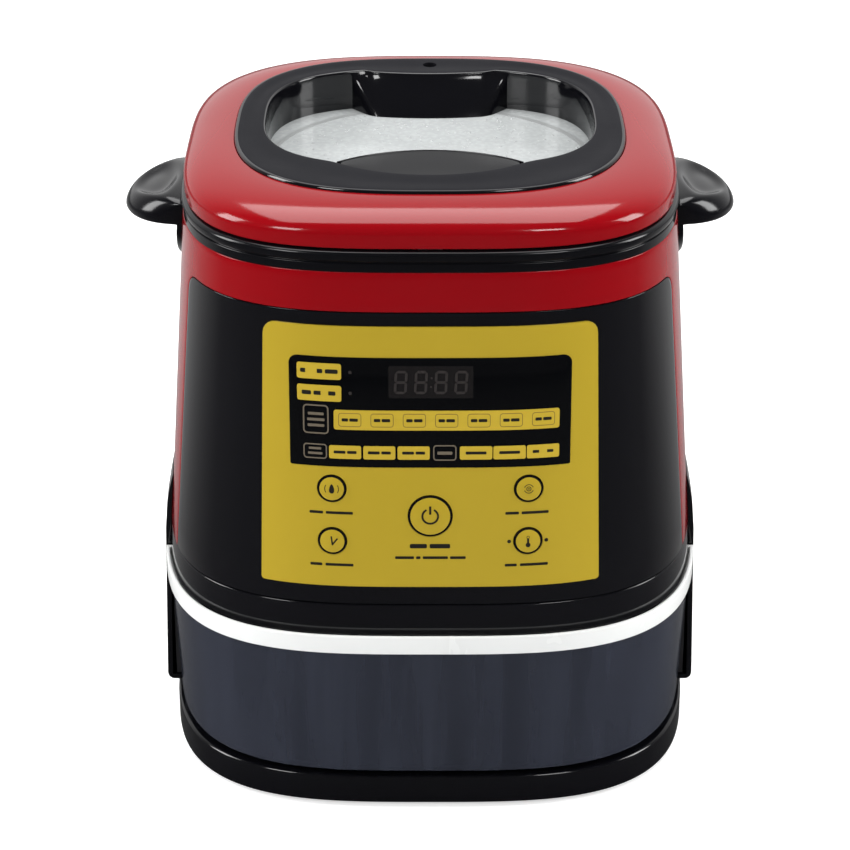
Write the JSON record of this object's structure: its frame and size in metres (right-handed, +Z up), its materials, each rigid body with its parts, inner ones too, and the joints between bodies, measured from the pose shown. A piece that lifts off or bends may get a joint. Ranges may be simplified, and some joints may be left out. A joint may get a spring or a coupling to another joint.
{
  "type": "electric rice cooker",
  "caption": "Electric rice cooker with a hinged lid and window, side handles, a front control panel and a see-through water drawer under the body.",
  "frame": {"origin": "on the floor under the middle of the cooker", "axes": "+Z up, the control panel faces -Y, +X is to the right of someone facing the panel"},
  "size_m": [0.295, 0.2799, 0.3042],
  "materials": {
    "red_shell": "gloss",
    "black_gloss": "gloss",
    "black_matte": "satin",
    "gold_film": "satin",
    "display_lens": "gloss",
    "clear_grey": "clear",
    "clear_lid": "clear",
    "white_rim": "gloss",
    "rubber": "matte",
    "silicone": "matte",
    "steel": "satin",
    "aluminium": "satin",
    "pot_coating": "satin",
    "circuit_board": "satin",
    "grey_plastic": "satin",
    "copper": "satin",
    "contact": "satin"
  },
  "bodies": {
    "base": {"rubber_feet": "rubber", "bottom_plate": "black_matte", "bottom_screws": "steel", "base_tray": "black_gloss", "rear_housing": "black_gloss", "housing_neck": "black_matte", "housing_deck": "black_matte", "bay_wall": "black_matte", "body_floor": "black_matte", "body_screws": "steel", "lower_trim": "black_gloss", "body_shell": "red_shell", "front_panel": "black_gloss", "control_overlay": "gold_film", "display_window": "display_lens", "display_module": "black_matte", "control_board": "circuit_board", "rim_collar": "black_gloss", "latch_striker": "steel", "chamber_liner": "aluminium", "heater_plate": "aluminium", "heater_element": "steel", "inner_pot": "pot_coating", "rice_basket": "steel", "sensor_guide": "black_matte", "sensor_spring": "steel", "drain_cup": "grey_plastic", "drain_valve": "grey_plastic", "valve_coil": "copper", "drain_spout": "grey_plastic", "power_board": "circuit_board", "power_inlet": "black_matte", "inlet_pins": "contact", "handle_left": "black_gloss", "handle_right": "black_gloss", "handle_screws": "steel", "hinge_bracket": "black_gloss", "hinge_pin": "steel", "hinge_spring": "steel"},
    "lid": {"lid_shell": "red_shell", "lid_bezel": "black_matte", "lid_window": "clear_lid", "lid_base": "black_matte", "inner_lid": "aluminium", "lid_seal": "silicone", "vent_duct": "black_matte", "vent_block": "black_gloss", "lid_screws": "steel", "button_springs": "steel"},
    "button": {"release_button": "black_matte"},
    "latch": {"latch_slider": "grey_plastic"},
    "drawer": {"tank_bowl": "clear_grey", "tank_rim": "white_rim"},
    "sensor": {"sensor_plunger": "aluminium"},
    "valve": {"valve_plunger": "steel"},
    "key_upper_left": {"key_upper_left": "black_gloss"},
    "key_lower_left": {"key_lower_left": "black_gloss"},
    "key_upper_right": {"key_upper_right": "black_gloss"},
    "key_lower_right": {"key_lower_right": "black_gloss"},
    "key_start": {"key_start": "black_gloss"}
  },
  "joints": [
    {"name": "lid_hinge", "type": "hinge", "parent": "base", "child": "lid", "pos_m": [0, 0.131, 0.283], "axis": [-1, 0, 0], "range_deg": [0, 78], "deforming": ["hinge_spring"]},
    {"name": "button_press", "type": "slide", "parent": "lid", "child": "button", "axis": [0, 0, -1], "range_m": [0, 0.003], "stiffness_N_per_m": 300, "springref_m": -0.004, "deforming": ["button_springs"]},
    {"name": "latch_slide", "type": "slide", "parent": "lid", "child": "latch", "axis": [0, 1, 0], "range_m": [0, 0.003]},
    {"name": "drawer_slide", "type": "slide", "parent": "base", "child": "drawer", "axis": [0, -1, 0], "range_m": [0, 0.11]},
    {"name": "sensor_press", "type": "slide", "parent": "base", "child": "sensor", "axis": [0, 0, -1], "range_m": [0, 0.002], "stiffness_N_per_m": 300, "springref_m": -0.003, "deforming": ["sensor_spring"]},
    {"name": "valve_open", "type": "slide", "parent": "base", "child": "valve", "axis": [1, 0, 0], "range_m": [0, 0.0065], "stiffness_N_per_m": 100, "springref_m": -0.004},
    {"name": "key_upper_left_press", "type": "slide", "parent": "base", "child": "key_upper_left", "axis": [0.1026, 0.9924, -0.0675], "range_m": [0, 0.0006], "stiffness_N_per_m": 1500, "springref_m": -0.0006},
    {"name": "key_lower_left_press", "type": "slide", "parent": "base", "child": "key_lower_left", "axis": [0.0991, 0.9928, -0.0675], "range_m": [0, 0.0006], "stiffness_N_per_m": 1500, "springref_m": -0.0006},
    {"name": "key_upper_right_press", "type": "slide", "parent": "base", "child": "key_upper_right", "axis": [-0.1026, 0.9924, -0.0675], "range_m": [0, 0.0006], "stiffness_N_per_m": 1500, "springref_m": -0.0006},
    {"name": "key_lower_right_press", "type": "slide", "parent": "base", "child": "key_lower_right", "axis": [-0.0991, 0.9928, -0.0675], "range_m": [0, 0.0006], "stiffness_N_per_m": 1500, "springref_m": -0.0006},
    {"name": "key_start_press", "type": "slide", "parent": "base", "child": "key_start", "axis": [0, 0.9977, -0.0675], "range_m": [0, 0.0006], "stiffness_N_per_m": 1500, "springref_m": -0.0006}
  ],
  "couplings": [
    {"joint": "latch_slide", "follows": "button_press", "ratio": 1}
  ]
}
